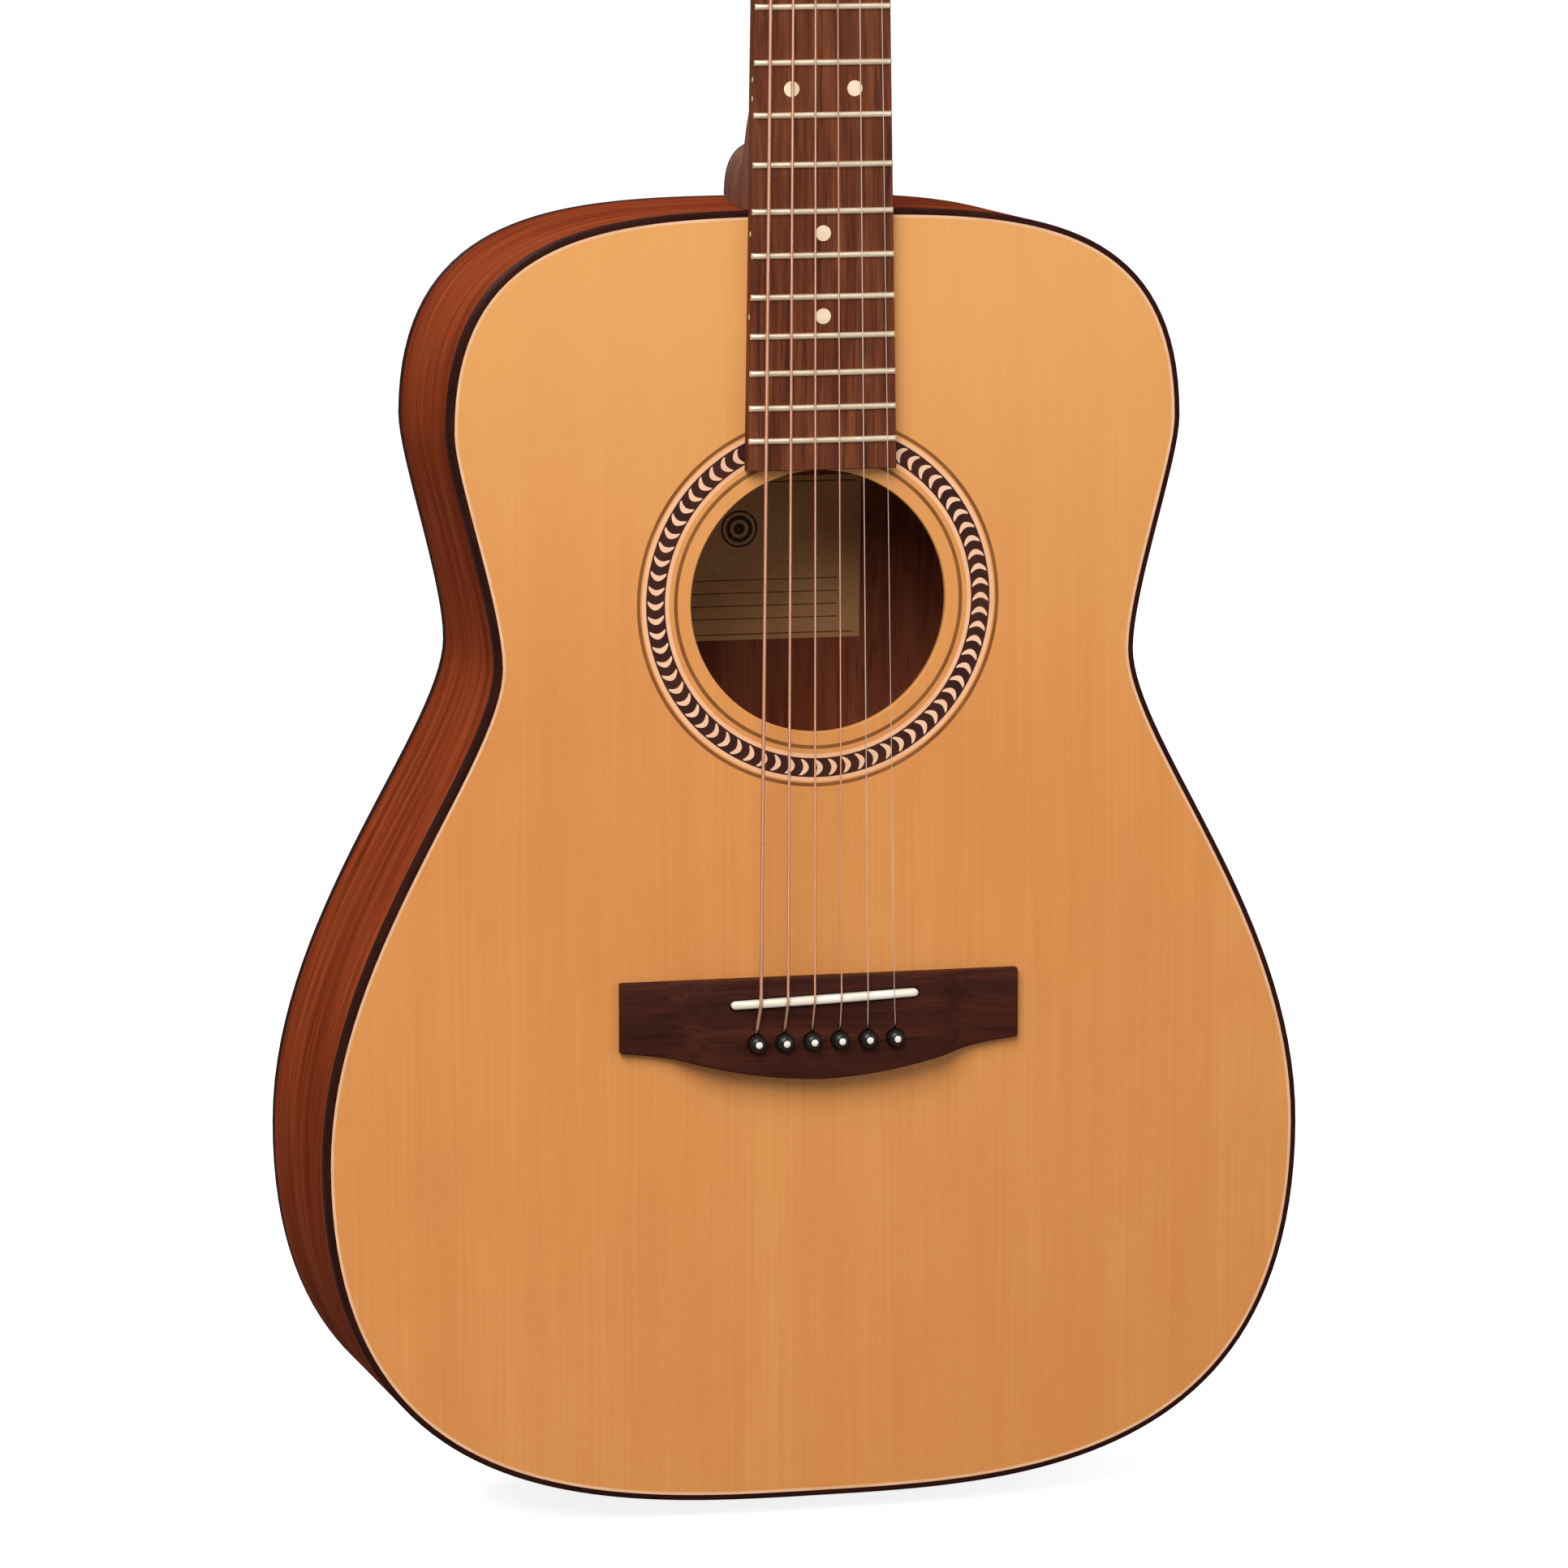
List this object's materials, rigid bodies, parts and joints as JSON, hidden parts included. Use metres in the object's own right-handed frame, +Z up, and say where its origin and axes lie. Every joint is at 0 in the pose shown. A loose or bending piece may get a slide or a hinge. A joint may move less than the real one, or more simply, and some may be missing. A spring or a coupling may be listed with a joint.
{
  "type": "acoustic guitar",
  "caption": "Steel-string acoustic guitar: braced spruce top and arched back on bent sides, round sound hole, belly bridge, fretted neck and geared tuners that turn.",
  "frame": {"origin": "centre of the end pin's flat outer face, at the tail on the centre line", "axes": "+Z up the neck towards the headstock, -Y out of the soundboard's front face, +X towards the treble side"},
  "size_m": [0.3768, 0.1258, 1.0318],
  "materials": {
    "top_spruce": "gloss, amber aged spruce",
    "brace_spruce": "raw",
    "mahogany": "satin",
    "rosewood": "oiled",
    "rosette_inlay": "gloss",
    "black_binding": "gloss",
    "black_plastic": "gloss",
    "bone": "satin",
    "chrome": "polished",
    "steel": "brushed",
    "plain_steel_string": "polished",
    "bronze_string": "wound"
  },
  "bodies": {
    "guitar": {"soundboard": "top_spruce", "rosette": "rosette_inlay", "bridge": "rosewood", "bridge_plate": "rosewood", "fretboard": "rosewood", "headstock_veneer": "rosewood", "saddle": "bone", "nut": "bone", "bass_side": "mahogany", "treble_side": "mahogany", "back": "mahogany", "neck": "mahogany", "neck_block": "mahogany", "tail_block": "mahogany", "top_lining": "mahogany", "back_lining": "mahogany", "top_binding": "black_binding", "back_binding": "black_binding", "end_pin": "black_plastic", "truss_rod": "steel", "x_brace_bass": "brace_spruce", "x_brace_treble": "brace_spruce", "transverse_brace": "brace_spruce", "tone_bar_1": "brace_spruce", "tone_bar_2": "brace_spruce", "back_brace_1": "brace_spruce", "back_brace_2": "brace_spruce", "back_brace_3": "brace_spruce", "back_brace_4": "brace_spruce", "bridge_pin_1": "black_plastic", "string_1": "plain_steel_string", "tuner_housing_1": "chrome", "bridge_pin_2": "black_plastic", "string_2": "plain_steel_string", "tuner_housing_2": "chrome", "bridge_pin_3": "black_plastic", "string_3": "bronze_string", "tuner_housing_3": "chrome", "bridge_pin_4": "black_plastic", "string_4": "bronze_string", "tuner_housing_4": "chrome", "bridge_pin_5": "black_plastic", "string_5": "bronze_string", "tuner_housing_5": "chrome", "bridge_pin_6": "black_plastic", "string_6": "bronze_string", "tuner_housing_6": "chrome"},
    "truss_rod_nut": {"truss_rod_nut": "steel"},
    "post_1": {"tuner_post_1": "chrome"},
    "knob_1": {"tuner_knob_1": "chrome"},
    "post_2": {"tuner_post_2": "chrome"},
    "knob_2": {"tuner_knob_2": "chrome"},
    "post_3": {"tuner_post_3": "chrome"},
    "knob_3": {"tuner_knob_3": "chrome"},
    "post_4": {"tuner_post_4": "chrome"},
    "knob_4": {"tuner_knob_4": "chrome"},
    "post_5": {"tuner_post_5": "chrome"},
    "knob_5": {"tuner_knob_5": "chrome"},
    "post_6": {"tuner_post_6": "chrome"},
    "knob_6": {"tuner_knob_6": "chrome"}
  },
  "joints": [
    {"name": "truss_rod_adjust", "type": "hinge", "parent": "guitar", "child": "truss_rod_nut", "pos_m": [0, -0.0511, 0.8643], "axis": [0, 0, 1], "range_deg": [-360, 360]},
    {"name": "knob_1_turn", "type": "hinge", "parent": "guitar", "child": "knob_1", "pos_m": [0.023, -0.0245, 0.89854], "axis": [1, 0, 0], "continuous": true},
    {"name": "post_1_turn", "type": "hinge", "parent": "guitar", "child": "post_1", "pos_m": [0.023, -0.04691, 0.89547], "axis": [0, -0.9703, 0.2419], "continuous": true},
    {"name": "knob_2_turn", "type": "hinge", "parent": "guitar", "child": "knob_2", "pos_m": [0.0235, -0.0141, 0.94026], "axis": [1, 0, 0], "continuous": true},
    {"name": "post_2_turn", "type": "hinge", "parent": "guitar", "child": "post_2", "pos_m": [0.0235, -0.03651, 0.93719], "axis": [0, -0.9703, 0.2419], "continuous": true},
    {"name": "knob_3_turn", "type": "hinge", "parent": "guitar", "child": "knob_3", "pos_m": [0.024, -0.0037, 0.98199], "axis": [1, 0, 0], "continuous": true},
    {"name": "post_3_turn", "type": "hinge", "parent": "guitar", "child": "post_3", "pos_m": [0.024, -0.0261, 0.97892], "axis": [0, -0.9703, 0.2419], "continuous": true},
    {"name": "knob_4_turn", "type": "hinge", "parent": "guitar", "child": "knob_4", "pos_m": [-0.024, -0.0037, 0.98199], "axis": [1, 0, 0], "continuous": true},
    {"name": "post_4_turn", "type": "hinge", "parent": "guitar", "child": "post_4", "pos_m": [-0.024, -0.0261, 0.97892], "axis": [0, -0.9703, 0.2419], "continuous": true},
    {"name": "knob_5_turn", "type": "hinge", "parent": "guitar", "child": "knob_5", "pos_m": [-0.0235, -0.0141, 0.94026], "axis": [1, 0, 0], "continuous": true},
    {"name": "post_5_turn", "type": "hinge", "parent": "guitar", "child": "post_5", "pos_m": [-0.0235, -0.03651, 0.93719], "axis": [0, -0.9703, 0.2419], "continuous": true},
    {"name": "knob_6_turn", "type": "hinge", "parent": "guitar", "child": "knob_6", "pos_m": [-0.023, -0.0245, 0.89854], "axis": [1, 0, 0], "continuous": true},
    {"name": "post_6_turn", "type": "hinge", "parent": "guitar", "child": "post_6", "pos_m": [-0.023, -0.04691, 0.89547], "axis": [0, -0.9703, 0.2419], "continuous": true}
  ],
  "couplings": [
    {"joint": "post_1_turn", "follows": "knob_1_turn", "ratio": 0.071429},
    {"joint": "post_2_turn", "follows": "knob_2_turn", "ratio": 0.071429},
    {"joint": "post_3_turn", "follows": "knob_3_turn", "ratio": 0.071429},
    {"joint": "post_4_turn", "follows": "knob_4_turn", "ratio": 0.071429},
    {"joint": "post_5_turn", "follows": "knob_5_turn", "ratio": 0.071429},
    {"joint": "post_6_turn", "follows": "knob_6_turn", "ratio": 0.071429}
  ]
}
